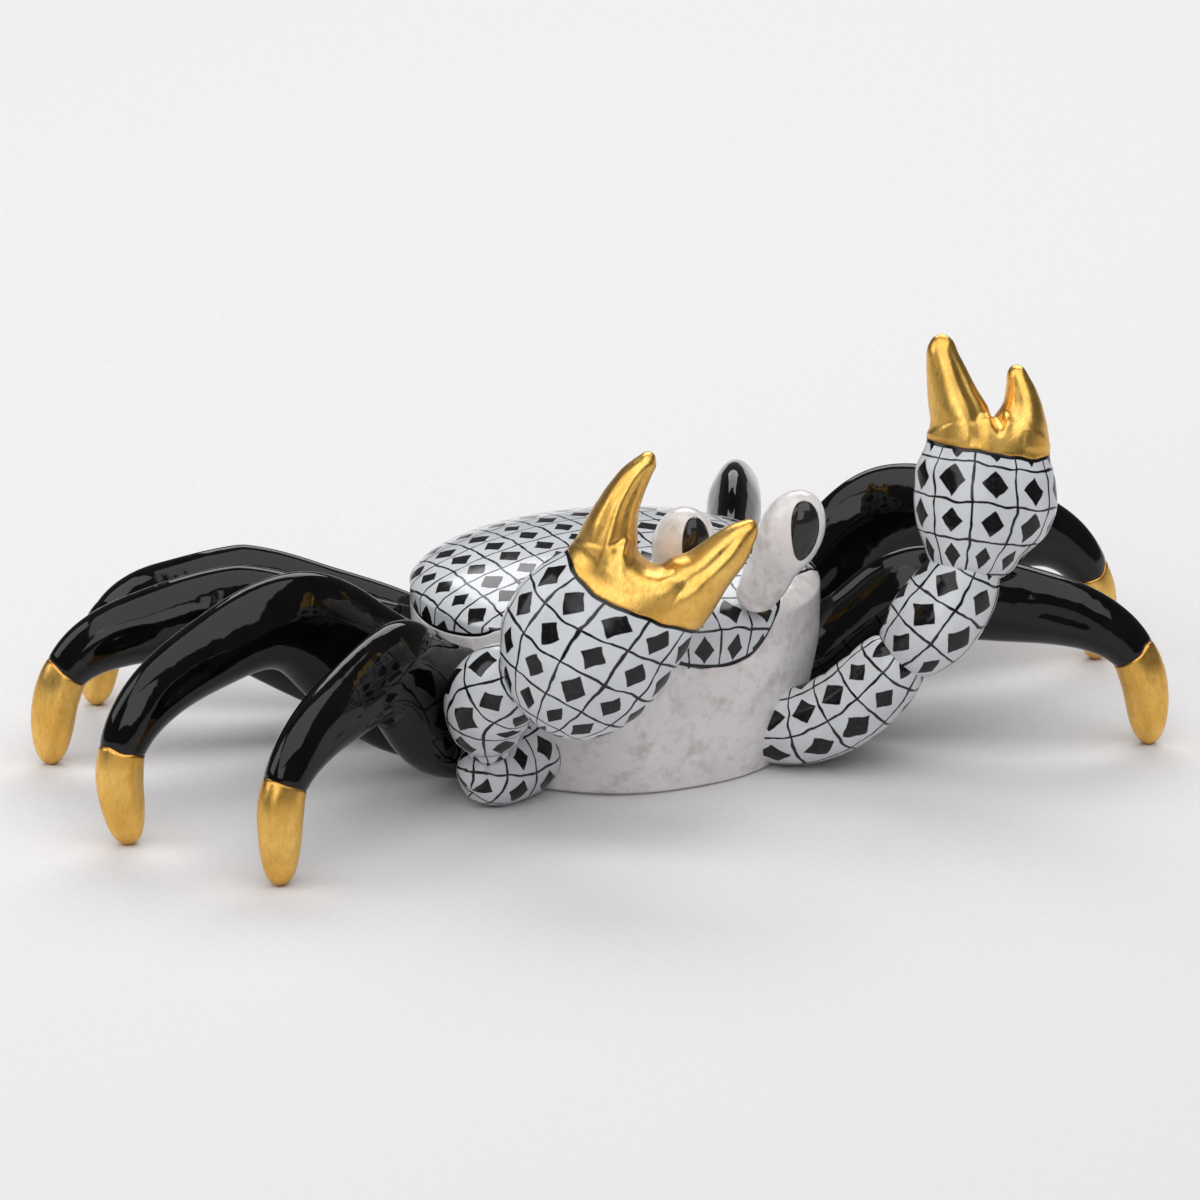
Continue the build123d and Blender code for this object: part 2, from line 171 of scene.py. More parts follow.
# Height along the stalk and radius there, up to the middle of the eyeball
eye_profile = (
    (3.3, 2.12), (4.6, 2.4), (5.9, 2.46), (7.2, 2.5), (8.6, 2.82), (10.1, 3.18), (11.5, 3.28),
)
eye_height = 16.4
stalk_bend = 1.0
eye_spacing = 8.0
eye_offset = 2.5
eye_setback = 2.7
eye_spread = radians(10)
eye_lean = radians(25)
eye_look_height = 10.53
pupil_half_width = 1.5
pupil_half_height = 2.7
pupil_rise = 0.35
pupil_tilt = radians(31)
pupil_turn = {"left": radians(1), "right": radians(-8)}
# Reach from a pupil's middle and rise above the eyeball
pupil_dome_shares = (
    (0.02, 1), (0.2, 0.995), (0.4, 0.98), (0.6, 0.94), (0.75, 0.87), (0.86, 0.74), (0.93, 0.55),
    (0.97, 0.36), (1, 0.12), (1, -1.6),
)

# Gilding
gold_thickness = 0.05
gold_wave = 0.1
# Where a finger's grooves start above its foot and end below its tip, how they fade, and their spread
groove_start = 0.5
groove_end = 1.0
groove_fade = 3.0
groove_width = 0.22
# How the fingers' outlines and the web between them run into each other
foot_fade = 0.6
notch_crispness = 2.8
web_narrowing = 0.3
web_rounding = 0.5
finger_rounding = 0.9
border_rounding = 0.12
# Between these places one finger's depth and width turn into the other's, and the web's into theirs
middle_half_width = 2.5
swell_levels = (-1, 4)

# Painted net
cell = 3.95
line_width = 0.27
edge_line_width = 0.34

# Each claw: its place, as shares of the body, and its directions, then millimetres along and across it.
# A palm's section has height, offset, half width and half depth, and a finger's the first three. Depth
# is the share of the fingers' thickness at shares of their height. Grooves are places across a finger
# and depths. Web and gilding are heights, across the claw, of the floor between the fingers and of the
# line where the gold starts.
claws = {
    "right": {
        "place": (-0.55, -1.38, 1.523),
        "along": (0.529, -0.148, 0.837),
        "across": (0.675, -0.524, -0.518),
        "palm": (
            (-16.9, -0.4, 0, 0), (-16.7, -0.4, 1.6, 1.2), (-16, -0.45, 3.6, 2.6), (-14.4, -0.7, 5.7, 4),
            (-12, -0.85, 7.4, 5.05), (-9, -1.1, 8.5, 5.6), (-6, -1.1, 8.7, 5.65), (-3, -0.75, 8.3, 5.3),
            (0, -0.15, 7.55, 4.7), (2, -0.15, 7.55, 4.2), (6, -0.15, 7.4, 3.4),
        ),
        "fingers": (
            (
                (0, -4.3, 3.2), (2, -4.6, 3.1), (4.2, -5.23, 2.63), (5.3, -5.6, 2.26),
                (7.1, -5.98, 1.83), (9.1, -6.1, 1.47), (10.3, -6.02, 1.18), (11.2, -5.9, 0.93),
                (11.75, -5.95, 0.62), (12.02, -5.95, 0.32), (12.1, -5.95, 0.05),
            ),
            (
                (0, 4, 3.3), (2, 4, 3.5), (4.4, 4.3, 3.1), (5.8, 4.84, 2.56), (8.2, 5.39, 2.12),
                (10.5, 5.73, 1.37), (11.2, 5.9, 0.97), (11.68, 5.97, 0.62), (11.92, 5.97, 0.32),
                (12, 5.97, 0.05),
            ),
        ),
        "depth": (
            (0, 1), (0.17, 0.9), (0.33, 0.79), (0.52, 0.67), (0.71, 0.5), (0.86, 0.36), (0.94, 0.25),
            (0.98, 0.16), (0.995, 0.08), (1, 0.02),
        ),
        "thickness": 4.7,
        "grooves": (((-0.3, 0.22), (0.42, 0.38)), ((-0.05, 0.28),)),
        "web": (
            (-7.8, 0.6), (-5, 3), (-3.4, 4.2), (-2.6, 3.5), (-1.5, 2.95), (-0.3, 2.85), (1.2, 3.4),
            (2.3, 4.4), (3.3, 4.5), (5, 3.4), (7.8, 0.6),
        ),
        "gilding": (
            (-7.49, -0.41), (-5.24, -1.53), (-2.55, -1.88), (1.26, -1.25), (4.19, -0.72), (7.32, 0.05),
        ),
    },
    "left": {
        "place": (1.42, -1.17, 1.948),
        "along": (0.19, 0.14, 0.972),
        "across": (0.93, -0.33, -0.134),
        "palm": (
            (-13.4, -0.3, 0, 0), (-13.2, -0.3, 2.2, 1.9), (-12.6, -0.3, 3.6, 3), (-11.6, -0.2, 4.5, 3.9),
            (-10.3, -0.1, 5.2, 4.3), (-7.6, 0.38, 6.9, 4.8), (-5, 0.45, 7.42, 4.8),
            (-2.5, 0.18, 7.25, 4.5), (0, 0.08, 6.45, 3.9), (2, -0.05, 6.2, 3.5), (6, -0.1, 6.1, 2.9),
        ),
        "fingers": (
            (
                (0, -3, 3.3), (2, -2.9, 3.2), (4.2, -3.49, 3.07), (6, -4.34, 2.56), (8.4, -5.33, 1.92),
                (9.8, -5.83, 1.48), (10.6, -5.9, 1.1), (11, -5.95, 0.72), (11.18, -5.95, 0.36),
                (11.25, -5.95, 0.05),
            ),
            (
                (0, 3.1, 3.4), (2, 3.1, 3), (3.4, 3.1, 2.6), (4.7, 3.14, 2.06), (6.7, 2.73, 1.47),
                (8.1, 2.22, 1), (8.65, 2.12, 0.66), (8.88, 2.1, 0.34), (8.95, 2.1, 0.05),
            ),
        ),
        "depth": (
            (0, 1), (0.18, 0.91), (0.38, 0.77), (0.53, 0.64), (0.71, 0.49), (0.87, 0.33), (0.95, 0.23),
            (0.98, 0.15), (0.995, 0.07), (1, 0.02),
        ),
        "thickness": 3.9,
        "grooves": (((0.4, 0.3),), ((-0.45, 0.18),)),
        "web": (
            (-6.6, 0.8), (-4, 3.4), (-2, 4), (-0.9, 4.2), (-0.4, 3.6), (0.3, 3.1), (0.7, 3.3),
            (1.05, 4.1), (2.2, 4.1), (4.4, 3), (6.6, 0.8),
        ),
        "gilding": (
            (-6.33, 0.52), (-4.53, 0.29), (-2.02, 0.23), (1.56, -0.04), (4.39, -0.18), (6.54, 0.24),
        ),
    },
}


# Curves


def spline(knots, values, at):
    """Natural cubic spline through the values at the knots."""
    knots = np.asarray(knots, float)
    values = np.asarray(values, float)
    at = np.asarray(at, float)
    if values.ndim == 1:
        return spline(knots, values[:, None], at)[..., 0]
    n = len(knots)
    gap = np.diff(knots)
    matrix = np.eye(n)
    right = np.zeros_like(values)
    for k in range(1, n - 1):
        matrix[k, k - 1 : k + 2] = gap[k - 1], 2 * (gap[k - 1] + gap[k]), gap[k]
        right[k] = 6 * ((values[k + 1] - values[k]) / gap[k] - (values[k] - values[k - 1]) / gap[k - 1])
    bend = np.linalg.solve(matrix, right)
    i = np.clip(np.searchsorted(knots, at) - 1, 0, n - 2)
    g = gap[i][..., None]
    a = (knots[i + 1] - at)[..., None]
    b = (at - knots[i])[..., None]
    curved = bend[i] * a**3 / (6 * g) + bend[i + 1] * b**3 / (6 * g)
    straight = (values[i] / g - bend[i] * g / 6) * a + (values[i + 1] / g - bend[i + 1] * g / 6) * b
    return curved + straight


def steady(knots, values, at):
    """Smooth curve through the values at the knots that never swings past them."""
    knots = np.asarray(knots, float)
    values = np.asarray(values, float)
    slopes = np.diff(values) / np.diff(knots)
    inner = np.zeros(len(knots))
    product = slopes[:-1] * slopes[1:]
    keep = product > 0
    inner[1:-1][keep] = 2 * product[keep] / (slopes[:-1] + slopes[1:])[keep]
    inner[[0, -1]] = slopes[[0, -1]]
    i = np.clip(np.searchsorted(knots, at) - 1, 0, len(knots) - 2)
    g = knots[i + 1] - knots[i]
    t = np.clip((at - knots[i]) / g, 0, 1)
    return (
        values[i] * (1 + 2 * t) * (1 - t) ** 2
        + inner[i] * g * t * (1 - t) ** 2
        + values[i + 1] * t**2 * (3 - 2 * t)
        - inner[i + 1] * g * t**2 * (1 - t)
    )


def columns(table, at):
    """The table's columns after the first, as steady curves of the first."""
    table = np.asarray(table, float)
    return [steady(table[:, 0], column, at) for column in table.T[1:]]


def level_across(table, u):
    """Height in a table of places and heights, level beyond its ends."""
    at, height = np.array(table).T
    return steady(at, height, np.clip(u, at[0], at[-1]))


def knots_along(places):
    """How far each place is from the first, going from place to place."""
    return np.concatenate([[0], np.cumsum(np.linalg.norm(np.diff(places, axis=0), axis=1))])


def mirrored_curve(half, around):
    """Points on a smooth closed curve through those of one half and their mirror images."""
    wrap = 3
    points = np.concatenate([half, half[-2:0:-1] * (-1, 1)])
    extended = np.concatenate([points[-wrap:], points, points[: wrap + 1]])
    knots = knots_along(extended)
    start, end = knots[wrap], knots[wrap + len(points)]
    return spline(knots, extended, start + (end - start) * np.arange(around) / around)


def path_through(places, count):
    """Points and directions along a smooth line through the places."""
    knots = knots_along(places)
    line = spline(knots, places, np.linspace(0, knots[-1], count))
    ahead = np.gradient(line, axis=0)
    return line, ahead / np.linalg.norm(ahead, axis=1)[:, None]


def turns(around):
    """Angles of the points around a ring."""
    return np.arange(around) / around * 2 * pi


def unit(v):
    return np.asarray(v, float) / np.linalg.norm(v)


def hill(at, centre, spread):
    """One at the centre, falling away on both sides."""
    return np.exp(-(((at - centre) / spread) ** 2))


def smooth_step(at, low, high):
    """Rises from 0 at low to 1 at high, and is level at both."""
    t = np.clip((at - low) / (high - low), 0, 1)
    return t * t * (3 - 2 * t)


def ripple(seed, *coordinates):
    """Smooth unevenness between about -1 and 1, a sum of a few waves."""
    random = np.random.default_rng(seed)
    total = 0
    waves = 5
    slowest, fastest = 0.6, 1.6
    for _ in range(waves):
        phase = random.uniform(0, 2 * pi)
        for c in coordinates:
            phase = phase + c * random.uniform(slowest, fastest) * random.choice((-1, 1))
        total = total + np.sin(phase)
    return total / waves


def on_body(shares):
    return np.array(shares) * (body_half_width, body_front, rim_height)


# Meshes


def link(name, data):
    item = bpy.data.objects.new(name, data)
    bpy.context.scene.collection.objects.link(item)
    return item


def make_object(name, points, faces, uvs=None, distances=None):
    """A mesh object from points in millimetres. uvs has one pair for each corner of each face."""
    mesh = bpy.data.meshes.new(name)
    mesh.from_pydata((points * MM).tolist(), [], [f for part in faces for f in part.tolist()])
    if uvs is not None:
        layer = mesh.uv_layers.new(name="net")
        pairs = np.concatenate([np.reshape(u, (-1, 2)) for u in uvs])
        layer.data.foreach_set("uv", pairs.astype(np.float32).ravel())
    if distances is not None:
        layer = mesh.attributes.new("edge", "FLOAT", "POINT")
        layer.data.foreach_set("value", np.asarray(distances, np.float32).ravel())
    mesh.validate()
    mesh.shade_smooth()
    return link(name, mesh)


def ring_faces(rows, around, closed=False):
    """Quads between rings of points, and from the last ring to the first if closed."""
    i, j = np.meshgrid(np.arange(rows if closed else rows - 1), np.arange(around), indexing="ij")
    k = (j + 1) % around
    row, following = i * around, (i + 1) % rows * around
    return np.stack([row + j, row + k, following + k, following + j], -1).reshape(-1, 4)


def ring_uvs(u, v):
    """Corner coordinates for ring_faces, from arrays that have one column more than the rings."""
    both = np.stack([u, v], -1)
    return np.stack([both[:-1, :-1], both[:-1, 1:], both[1:, 1:], both[1:, :-1]], 2)


def capped_uvs(u, v):
    """Corner coordinates for the sides and both ends of a tube."""
    uvs = [ring_uvs(u, v)]
    for end, way in ((0, -1), (-1, 1)):
        middle = np.stack([(u[end, :-1] + u[end, 1:]) / 2, v[end, :-1]], -1)
        edge = np.stack([u[end], v[end]], -1)
        uvs.append(np.stack([middle, *(edge[:-1], edge[1:])[::way]], 1))
    return uvs


def tube(name, rings, uvs=None, distances=None):
    """A closed mesh from rings of points, each end drawn together to one point."""
    rows, around, _ = rings.shape
    points = np.concatenate([rings.reshape(-1, 3), [rings[0].mean(0)], [rings[-1].mean(0)]])
    j = np.arange(around)
    k = (j + 1) % around
    first = np.stack([np.full(around, rows * around), k, j], -1)
    last_row = (rows - 1) * around
    last = np.stack([np.full(around, rows * around + 1), last_row + j, last_row + k], -1)
    if distances is not None:
        distances = np.concatenate([np.ravel(distances), [distances[0].mean(), distances[-1].mean()]])
    return make_object(name, points, [ring_faces(rows, around), first, last], uvs, distances)


def arc_lengths(rings):
    steps = np.linalg.norm(np.diff(rings, axis=0), axis=2).mean(1)
    return np.concatenate([[0], np.cumsum(steps)])


def net_around(rings, cells):
    """Net coordinates with a whole number of cells around and even cells along."""
    rows, around, _ = rings.shape
    u = np.tile(np.arange(around + 1) / around * cells, (rows, 1))
    return capped_uvs(u, np.tile(arc_lengths(rings)[:, None] / cell, (1, around + 1)))


# Pieces


def finish_piece(piece, material, node):
    piece.data.materials.append(material)
    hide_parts(node)
    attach(piece, "root")


def leg_path(name):
    """Places along a leg, all knots, the root's, crest's, gold's and tip's, and the way outward."""
    x_share, y_share, splay, reach_share, crest_share, crest_place_share, drawn_share = leg_shares[name]
    root = np.array([x_share * body_half_width, y_share * (body_back if y_share > 0 else body_front), 0])
    outward = np.array([cos(radians(splay)), sin(radians(splay)), 0])
    upward = np.array([0, 0, 1.0])
    reach = reach_share * leg_reach
    (crest_girth,) = (high for at, _, high in leg_girth_shares if at == 1)
    rise = crest_share * leg_crest - crest_girth * leg_half_height - toe_length
    crest_place = crest_place_share * reach
    left = reach - drawn_share * toe_radius - crest_place
    profile = []
    for d, h in leg_rise_shares:
        drop = root_drop.get(name, 0) * min(1 - d, longest_drop_share) ** drop_power
        profile.append((d * crest_place, h * rise - drop))
    profile += [(crest_place + d * left, h * rise) for d, h in leg_fall_shares]
    places = [root + outward * d + upward * (toe_length + h) for d, h in profile]
    tip = root + outward * reach
    bow = toe_bow_out * outward + toe_bow_up * upward
    places += [(places[-1] + tip) / 2 + bow, tip]
    knots = knots_along(places)
    marks = knots[[0, len(leg_rise_shares) - 1, len(profile) - 1, len(places) - 1]]
    return places, knots, marks, outward


def leg_surface(name, share, proud):
    """Points of a leg: its root is at share 0, crest at 1, gilding line at 2 and toe's tip at 3."""
    places, knots, marks, outward = leg_path(name)
    at = np.interp(share, (0, 1, 2, 3), marks)

    def on_line(at):
        return spline(knots, places, at.ravel()).reshape(share.shape + (3,))

    step = 0.05
    ahead = on_line(np.minimum(at + step, marks[-1])) - on_line(np.maximum(at - step, 0))
    ahead /= np.linalg.norm(ahead, axis=2)[..., None]
    across = np.array([-outward[1], outward[0], 0])
    upward = np.cross(ahead, across)
    wide, high = columns(leg_girth_shares, np.minimum(share, 2))
    # A toe's size goes by the square root of the way left to its tip, which keeps the tip round
    left, size = np.array(sorted(toe_girth_shares)).T
    toe_size = steady(np.sqrt(left), size, np.sqrt(np.clip(3 - share, 0, 1))) * toe_radius
    in_toe = share > 2
    around = share.shape[1]
    section = mirrored_curve(np.array(leg_section_shares), around)
    x = section[:, 0] * (np.where(in_toe, toe_size, wide * leg_half_width) + proud)
    y = section[:, 1] * (np.where(in_toe, toe_size, high * leg_half_height) + proud)
    fuller = leg_fullness.get(name, 0) * hill(share, fullest_share, fullness_spread_share) * (share < 2)
    fuller = fuller * np.clip((2 - share) / fullness_fade_share, 0, 1)
    y = np.where(y < 0, y * (1 + fuller), y)
    flank = hill(section[:, 1], flank_share, flank_spread_share) * np.sign(section[:, 0])
    x = x - sum(depth * hill(share, place, spread) for depth, place, spread in leg_hollows) * flank
    turn = turns(around)
    seed = SEED + list(leg_shares).index(name)
    uneven = 1 + leg_unevenness_share * ripple(seed, share * 8, np.sin(turn) * 2, np.cos(turn) * 2)
    points = on_line(at) + (x * uneven)[..., None] * across + (y * uneven)[..., None] * upward
    points[..., 2] = np.maximum(points[..., 2], floor_clearance)
    return points


def gilding_share(name, around):
    """Where the gold starts, for each line along a leg: a hand-painted, slightly wavy border."""
    turn = turns(around)
    seed = GILDING_SEED + list(leg_shares).index(name)
    wave = ripple(seed, np.sin(turn) * 2.2, np.cos(turn) * 2.2)
    return 2 + gilding_drop.get(name, 0) + gilding_wave_share * wave


def make_leg(name, material):
    rows = 170
    around = 80
    under_gold = 0.03
    sunk_under_gold = 0.12
    fade = 0.01
    border = gilding_share(name, around)
    share = np.linspace(0, 1, rows)[:, None] * (border + under_gold)
    proud = -sunk_under_gold * np.clip((share - border) / fade + 1, 0, 1)
    leg = tube("black_" + name, leg_surface(name, share, proud))
    finish_piece(leg, material, name)


def make_toe(name, material):
    rows = 70
    around = 80
    tip_share = 2.9995
    crowding = 1.6
    proud = 0.03
    fade = 0.02
    border = gilding_share(name, around)
    t = np.linspace(0, 1, rows)[:, None]
    share = border + (tip_share - border) * (1 - (1 - t) ** crowding)
    points = leg_surface(name, share, proud * np.clip(t / fade, 0, 1))
    node = name.replace("leg", "toe")
    toe = tube("gilded_" + node, points, distances=(share - border) * toe_length)
    finish_piece(toe, material, node)


def lying_net(rings, caps, size):
    """Net coordinates of a lying arm, around its sides and up them, with no pole at its ends."""
    rows, around, _ = rings.shape
    end_share = 0.8
    run = arc_lengths(rings[caps:-caps])
    length = run[-1]
    inner = np.clip(np.arange(rows), caps, rows - caps - 1)
    start, end = end_share * size[caps], end_share * size[-caps - 1]
    local = size[inner][:, None]
    run = run[inner - caps][:, None]
    round_end = np.linspace(0, pi / 2, caps)
    pole = np.concatenate([round_end, np.full(rows - 2 * caps, pi / 2), round_end[::-1]])[:, None]
    turn = np.arange(around + 1) / around * 2 * pi
    rise = np.arcsin(np.sin(pole) * np.sin(turn))
    perimeter = 2 * length + pi * (start + end)
    unit_size = perimeter / round(perimeter / cell)
    row = np.arange(rows)[:, None]
    sides = []
    for hand in (1, -1):
        bend = pi / 2 - np.arctan2(hand * np.abs(np.sin(pole) * np.cos(turn)), np.cos(pole))
        middle = run if hand > 0 else -pi * start - run
        last = length + bend * end - (0 if hand > 0 else perimeter)
        u = np.where(row < caps, -bend * start, np.where(row < rows - caps, middle, last))
        sides.append(ring_uvs(u / unit_size, rise * local / cell))
    facing = np.cos((np.arange(around) + 0.5) / around * 2 * pi) > 0
    uvs = np.where(facing[None, :, None, None], sides[0], sides[1])
    return [uvs, np.tile(uvs[0, :1, :1], (around, 3, 1)), np.tile(uvs[-1, :1, :1], (around, 3, 1))]


def limb(name, places, girths, radius, material, lying=False):
    """A round arm segment with rounded ends."""
    rows = 110
    around = 72
    caps = 10
    cap_length_share = 0.6
    first_bend = 0.05
    line, ahead = path_through(places, rows)
    (girth,) = columns(girths, np.linspace(0, 1, rows))
    size = girth * radius
    nearly_upright = 0.9
    reference = np.cross(ahead[0], (0, 0, 1)) if abs(ahead[0][2]) < nearly_upright else (1, 0, 0)
    reference = unit(reference)
    inner = np.clip(np.arange(rows + 2 * caps) - caps, 0, rows - 1)
    across = np.array([unit(reference - (reference @ a) * a) for a in ahead])[inner]
    upward = np.cross(ahead[inner], across)
    bend = np.linspace(0, pi / 2, caps, endpoint=False) + first_bend
    grow, sink = np.sin(bend), np.cos(bend)
    first = line[0] - ahead[0] * (sink * size[0] * cap_length_share)[:, None]
    last = line[-1] + ahead[-1] * (sink[::-1] * size[-1] * cap_length_share)[:, None]
    line = np.concatenate([first, line, last])
    size = np.concatenate([grow * size[0], size, grow[::-1] * size[-1]])
    turn = turns(around)
    x, y = (size[:, None] * np.cos(turn))[..., None], (size[:, None] * np.sin(turn))[..., None]
    rings = line[:, None] + x * across[:, None] + y * upward[:, None]
    rings[..., 2] = np.maximum(rings[..., 2], floor_clearance)
    uvs = lying_net(rings, caps, size) if lying else net_around(rings, cells_around_arm)
    piece = tube("painted_" + name, rings, uvs, np.full(rings.shape[:2], far_from_edge))
    finish_piece(piece, material, name)


def on_claw(claw, u, n, w):
    """Places of points that are given across a claw, through it and along it."""
    along = unit(claw["along"])
    across = unit(claw["across"])
    across = unit(across - (across @ along) * along)
    deep = np.cross(along, across)
    return on_body(claw["place"]) + u[..., None] * across + n[..., None] * deep + w[..., None] * along


def gilding_height(claw, u):
    """Where the gold starts along a claw, for places across it: a slightly wavy border."""
    waviness = 2.4
    return level_across(claw["gilding"], u) + gold_wave * ripple(CLAW_SEED, u * waviness)


def make_palm(side, material):
    rows = 130
    around = 96
    under_gold = 0.4
    sunk_share = 0.03
    fade = 0.3
    # The rows are closest together at the heel
    bunched_share = 0.45
    crowding = 1.2
    claw = claws[side]
    heel = claw["palm"][0][0]
    turn = turns(around)
    offset, half_width, _ = columns(claw["palm"], 0.0)
    top = gilding_height(claw, offset + half_width * np.cos(turn)) + under_gold
    bunched = 1 - np.cos(np.linspace(0, pi / 2, rows))
    share = bunched_share * bunched + (1 - bunched_share) * np.linspace(0, 1, rows) ** crowding
    w = heel + share[:, None] * (top - heel)
    offset, half_width, half_depth = columns(claw["palm"], w)
    u = offset + half_width * np.cos(turn)
    n = half_depth * np.sin(turn)
    distances = gilding_height(claw, u) - w
    # Where the gold lies over it, the palm is drawn in a little
    sunk = 1 - sunk_share * np.clip(-distances / fade, 0, 1)
    rings = on_claw(claw, u * sunk, n * sunk, w)
    cells = round(2 * pi * (half_width.max() + half_depth.max()) / 2 / cell)
    piece = tube("painted_claw_palm_" + side, rings, net_around(rings, cells), distances)
    finish_piece(piece, material, "claw_palm_" + side)


def soft_max(a, b, k):
    """The larger of two fields, rounded over k where they cross."""
    h = np.maximum(k - np.abs(a - b), 0) / k
    return np.maximum(a, b) + h * h * k / 4


def oval_field(x, y, half_width, half_depth):
    """About the distance outside an oval, in millimetres."""
    tiny = 1e-6
    one = np.sqrt((x / half_width) ** 2 + (y / half_depth) ** 2)
    two = np.sqrt((x / half_width**2) ** 2 + (y / half_depth**2) ** 2)
    return one * (one - 1) / np.maximum(two, tiny)


def finger_outline(table, u, w):
    """How far outside a finger's outline, the place across it from -1 to 1, and its half width."""
    offset, half_width = columns(table, w)
    # Below its foot a finger fades into the web
    outside = np.abs(u - offset) - half_width + foot_fade * np.clip(1.0 - w, 0, 2)
    return np.maximum(outside, w - table[-1][0]), (u - offset) / half_width, half_width


def grooved_depth(claw, table, grooves, place, w):
    """Half depth of a finger, with its grooves where they show."""
    top = table[-1][0]
    (depth,) = columns(claw["depth"], np.clip(w / top, 0, 1))
    depth = depth * claw["thickness"]
    shown = np.clip((w - groove_start) / groove_fade, 0, 1)
    shown = shown * np.clip((top - groove_end - w) / groove_fade, 0, 1)
    for groove, deep in grooves:
        depth = depth - deep * shown * hill(place, groove, groove_width)
    return depth


def claw_field(claw, u, n, w):
    """Below zero inside the gilded fingers, in millimetres near their surface.

    The fingers and the web between them are one outline, swelled to the claw's depth.
    """
    offset, web_width, palm_depth = columns(claw["palm"], w)
    web_width = web_width - web_narrowing * np.clip(w, 0, 1)
    notch = notch_crispness * (w - level_across(claw["web"], u))
    outline = soft_max(np.abs(u - offset) - web_width, notch, web_rounding)
    depths = []
    widths = []
    for table, grooves in zip(claw["fingers"], claw["grooves"]):
        outside, place, half_width = finger_outline(table, u, w)
        depths.append(grooved_depth(claw, table, grooves, place, w))
        widths.append(half_width)
        outline = -soft_max(-outline, -outside, finger_rounding)
    share = smooth_step(u, -middle_half_width, middle_half_width)
    width = widths[0] * (1 - share) + widths[1] * share
    swell = web_width + (width - web_width) * smooth_step(w, *swell_levels)
    depth = np.where(w > 0, depths[0] * (1 - share) + depths[1] * share, palm_depth)
    solid = oval_field(np.maximum(swell + outline, 0), n, swell, depth) - gold_thickness
    return soft_max(solid, gilding_height(claw, u) - w, border_rounding)


def surface_points(values, low, step):
    """A point in each cell that the zero surface crosses, and the numbers of those cells' points."""
    cells = tuple(np.array(values.shape) - 1)
    corners = list(np.ndindex(2, 2, 2))

    def shifted(array, corner):
        return array[tuple(slice(c, c + size) for c, size in zip(corner, cells))]

    count = sum(shifted(values < 0, c).astype(np.int8) for c in corners)
    crossed = (count > 0) & (count < len(corners))
    total = np.zeros(cells + (3,))
    hits = np.zeros(cells)
    for a in corners:
        for axis in range(3):
            if a[axis]:
                continue
            ahead = np.eye(3, dtype=int)[axis]
            va, vb = shifted(values, a), shifted(values, a + ahead)
            cut = (va < 0) != (vb < 0)
            t = np.where(cut, va / np.where(cut, va - vb, 1), 0)
            total += cut[..., None] * (a + t[..., None] * ahead)
            hits += cut
    numbers = np.full(cells, -1)
    numbers[crossed] = np.arange(crossed.sum())
    return (np.argwhere(crossed) + total[crossed] / hits[crossed][:, None]) * step + low, numbers


def surface_quads(inside, numbers):
    """A quad for each grid edge that the surface cuts, through the points of the cells about it."""
    quads = []
    for axis in range(3):
        others = [o for o in range(3) if o != axis]
        index = np.argwhere(inside != np.roll(inside, -1, axis))
        keep = index[:, axis] < inside.shape[axis] - 1
        for o in others:
            keep &= (index[:, o] > 0) & (index[:, o] < inside.shape[o] - 1)
        index = index[keep]
        ring = []
        for shift in ((0, 0), (1, 0), (1, 1), (0, 1)):
            about = index.copy()
            about[:, others] -= shift
            ring.append(numbers[tuple(about.T)])
        quad = np.stack(ring, -1)
        # Seen along the middle axis, the other two turn the other way
        outward = inside[tuple(index.T)] != (axis == 1)
        quads.append(np.where(outward[:, None], quad, quad[:, ::-1]))
    return np.concatenate(quads)


def settle(field, points):
    """Points moved onto the field's zero surface along its slope."""
    rounds = 3
    step = 0.02
    least_slope = 0.05
    longest_move = 0.1
    for _ in range(rounds):
        rises = [field(*(points + d).T) - field(*(points - d).T) for d in np.eye(3) * step]
        slope = np.stack(rises, -1) / (2 * step)
        size = np.maximum((slope**2).sum(1), least_slope)
        move = np.clip(field(*points.T) / size, -longest_move, longest_move)
        points = points - move[:, None] * slope
    return points


def make_fingers(side, material):
    claw = claws[side]
    half_width, half_depth, bottom, above_tip = 9.5, 6.5, -2.5, 0.6
    step = 0.17
    field = partial(claw_field, claw)
    low = (-half_width, -half_depth, bottom)
    high = (half_width, half_depth, claw["fingers"][0][-1][0] + above_tip)
    axes = [np.arange(a, b + step, step) for a, b in zip(low, high)]
    values = field(*np.meshgrid(*axes, indexing="ij"))
    points, numbers = surface_points(values, low, step)
    quads = surface_quads(values < 0, numbers)
    u, n, w = settle(field, points).T
    distances = w - gilding_height(claw, u)
    piece = make_object("gilded_claw_fingers_" + side, on_claw(claw, u, n, w), [quads], None, distances)
    finish_piece(piece, material, "claw_fingers_" + side)


def body_levels(q):
    """Height, half width, front and back of the body: the crown is at 0, the rim at 1, the foot at 2."""
    rise, size = np.array(dome_shares)[::-1].T
    # The dome by its angle, so that its levels are evenly spaced
    dome_at = np.linspace(0, 1, len(rise))
    level = np.clip(q, 0, 1)
    rise, size = spline(dome_at, rise, level), spline(dome_at, size, level)
    height = 1 - np.clip(q - 1, 0, 1)
    (spread,) = columns(side_shares, height)
    above = q <= 1

    def from_rim(rim, foot):
        return np.where(above, rim * size, foot + (rim - foot) * spread)

    return (
        np.where(above, rim_height + crown_rise * rise, rim_height * height),
        from_rim(body_half_width, foot_half_width),
        from_rim(body_front, foot_front),
        from_rim(body_back, foot_back),
    )


def rim_outline(around):
    """Points of the body's outline at its rim."""
    x, y = np.array(outline_shares).T
    y = y * np.where(y > 0, body_back, body_front)
    return mirrored_curve(np.stack([x * body_half_width, y], -1), around)


def body_points(outline, q):
    """Points on the body at levels on each line that comes down through a point of the rim's outline."""
    x, y = outline.T
    z, half_width, front, back = body_levels(q)
    y = np.where(y > 0, y * back / body_back, y * front / body_front)
    return np.stack([x * half_width / body_half_width, y, z], -1)


